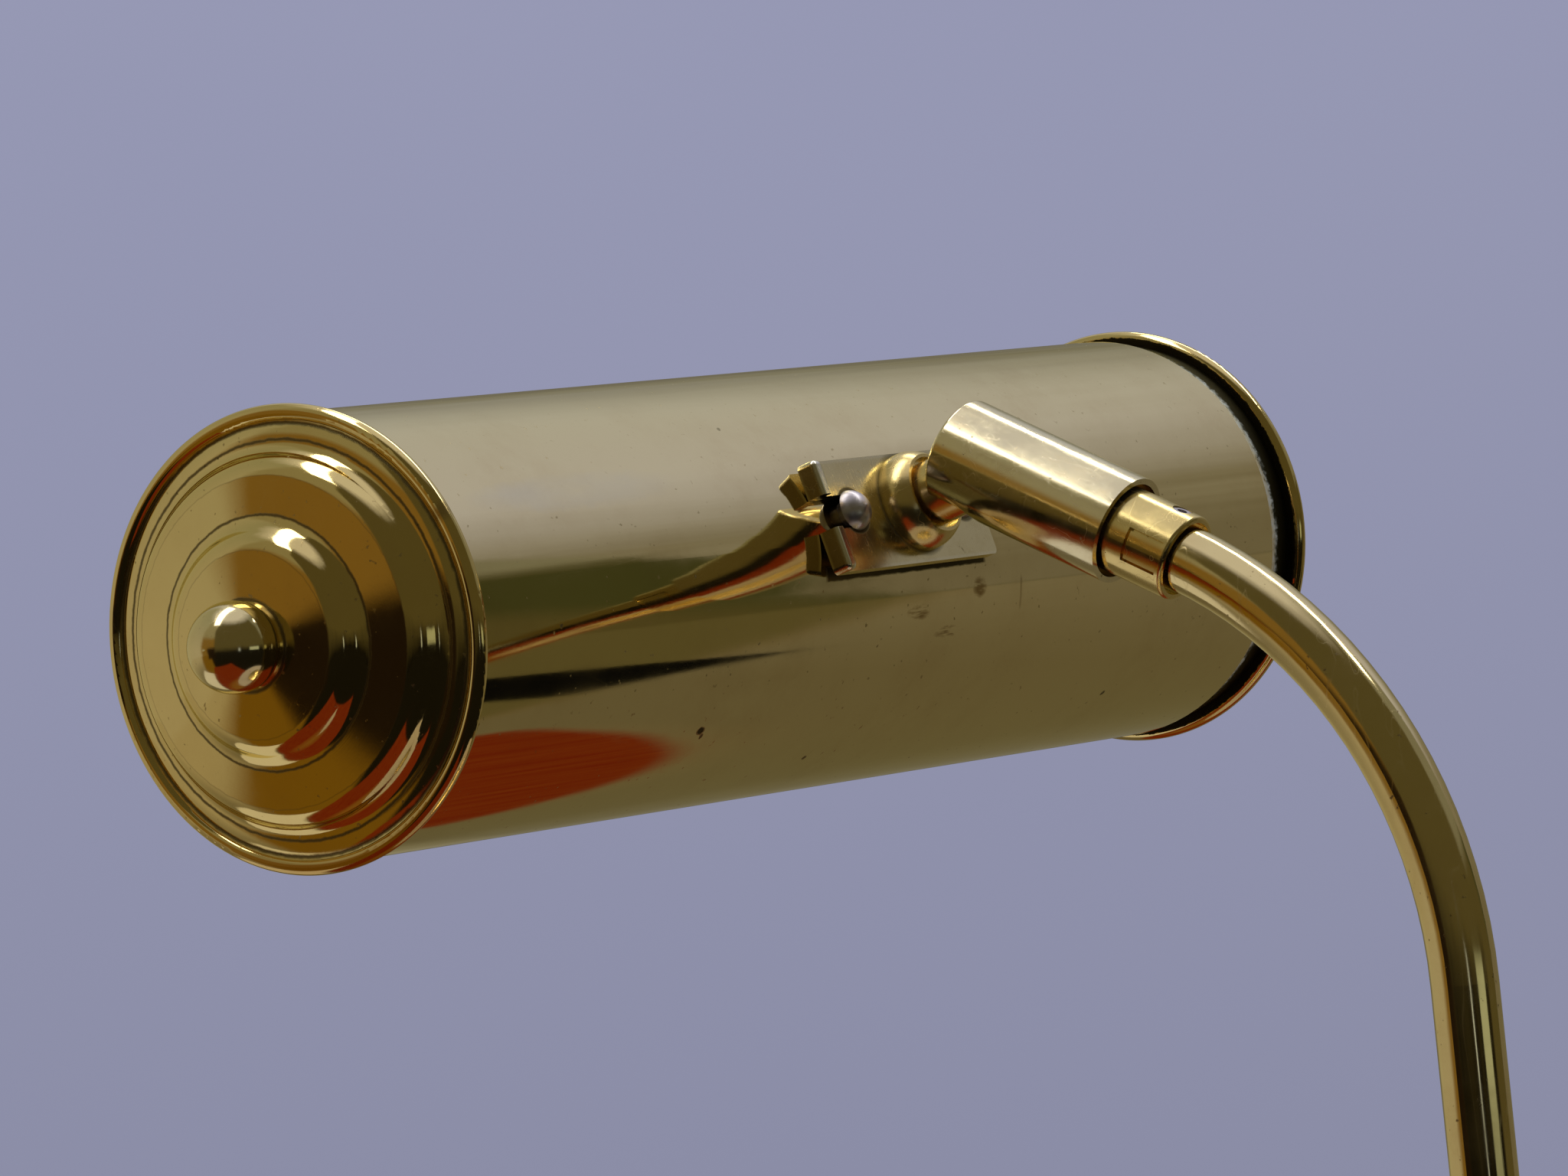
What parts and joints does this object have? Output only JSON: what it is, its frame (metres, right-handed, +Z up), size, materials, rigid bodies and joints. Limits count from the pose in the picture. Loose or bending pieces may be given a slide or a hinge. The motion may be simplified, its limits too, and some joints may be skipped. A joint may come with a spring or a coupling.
{
  "type": "piano lamp",
  "caption": "brass desk lamp with a weighted round foot, bent pipe arm, slotted ball joint and a long cylindrical shade with turned end caps",
  "frame": {"origin": "centre of the foot's underside, on the axis of the upright pipe", "axes": "+Z up along the pipe, +X along the shade towards its end with the snug cap, the shade hangs out over -Y"},
  "size_m": [0.263, 0.2272, 0.3086],
  "materials": {
    "felt": "dense green felt",
    "plate_steel": "zinc-plated sheet",
    "screw_steel": "dull grey steel",
    "weight_iron": "as cast, painted dark",
    "foot_brass": "polished and lacquered",
    "nut_steel": "zinc-plated",
    "grommet_rubber": "moulded black rubber",
    "switch_black": "moulded phenolic",
    "switch_brass": "polished, fluted edge",
    "button_brass": "polished",
    "pipe_brass": "polished drawn tube",
    "nut_brass": "turned",
    "sleeve_brass": "polished",
    "spring_steel": "spring steel",
    "tube_brass": "polished",
    "bush_brass": "turned",
    "ball_brass": "turned, lightly polished",
    "boss_brass": "polished",
    "plate_brass": "polished, rubbed edges",
    "shade_brass": "polished sheet, aged lacquer",
    "cap_brass": "spun and polished",
    "knob_brass": "turned and polished",
    "bridge_steel": "zinc-plated strip",
    "holder_black": "moulded phenolic",
    "contact_brass": "pressed",
    "lamp_cap_metal": "pressed, bright",
    "bulb_glass": "clear glass",
    "filament": "glass stem with fine wires"
  },
  "bodies": {
    "foot": {"felt_pad": "felt", "closing_plate": "plate_steel", "plate_screws": "screw_steel", "foot_weight": "weight_iron", "foot_cover": "foot_brass", "arm_bush": "foot_brass", "bush_nut": "nut_steel", "cable_grommet": "grommet_rubber", "switch_body": "switch_black", "switch_nut": "switch_brass"},
    "button": {"switch_button": "button_brass"},
    "arm": {"bent_pipe": "pipe_brass", "arm_ring": "pipe_brass", "arm_washer": "nut_steel", "arm_nut": "nut_brass", "swivel_sleeve": "sleeve_brass", "sleeve_screw": "screw_steel", "disc_springs": "spring_steel"},
    "head_tube": {"joint_tube": "tube_brass", "tube_bush": "bush_brass", "ball_cup": "bush_brass"},
    "neck": {"ball_stud": "ball_brass"},
    "shade": {"neck_boss": "boss_brass", "saddle_plate": "plate_brass", "saddle_screws": "screw_steel", "saddle_nuts": "nut_steel", "stem_nut": "nut_brass", "shade_shell": "shade_brass", "near_cap": "cap_brass", "far_cap": "cap_brass", "near_knob": "knob_brass", "far_knob": "knob_brass", "near_bridge": "bridge_steel", "far_bridge": "bridge_steel", "holder_bracket": "bridge_steel", "bracket_rivet": "bridge_steel", "lampholder": "holder_black", "holder_nut": "holder_black", "holder_contact": "contact_brass", "lamp_cap": "lamp_cap_metal", "bulb_glass": "bulb_glass", "bulb_filament": "filament"}
  },
  "joints": [
    {"name": "arm_swivel", "type": "hinge", "parent": "foot", "child": "arm", "pos_m": [0, 0, 0.03], "axis": [0, 0, 1], "range_deg": [-160, 160]},
    {"name": "head_roll", "type": "hinge", "parent": "arm", "child": "head_tube", "pos_m": [0, -0.07242, 0.28918], "axis": [0, 0.8926, -0.4509], "range_deg": [-90, 90]},
    {"name": "shade_tilt", "type": "hinge", "parent": "head_tube", "child": "neck", "pos_m": [0, -0.07242, 0.28918], "axis": [1, 0, 0], "range_deg": [-42, 35]},
    {"name": "shade_turn", "type": "hinge", "parent": "neck", "child": "shade", "pos_m": [0, -0.07242, 0.28918], "axis": [0, 0.958, 0.2867], "range_deg": [-45, 45]},
    {"name": "switch_press", "type": "slide", "parent": "foot", "child": "button", "axis": [0, 0, -1], "range_m": [0, 0.002], "stiffness_N_per_m": 800, "springref_m": -0.001}
  ]
}
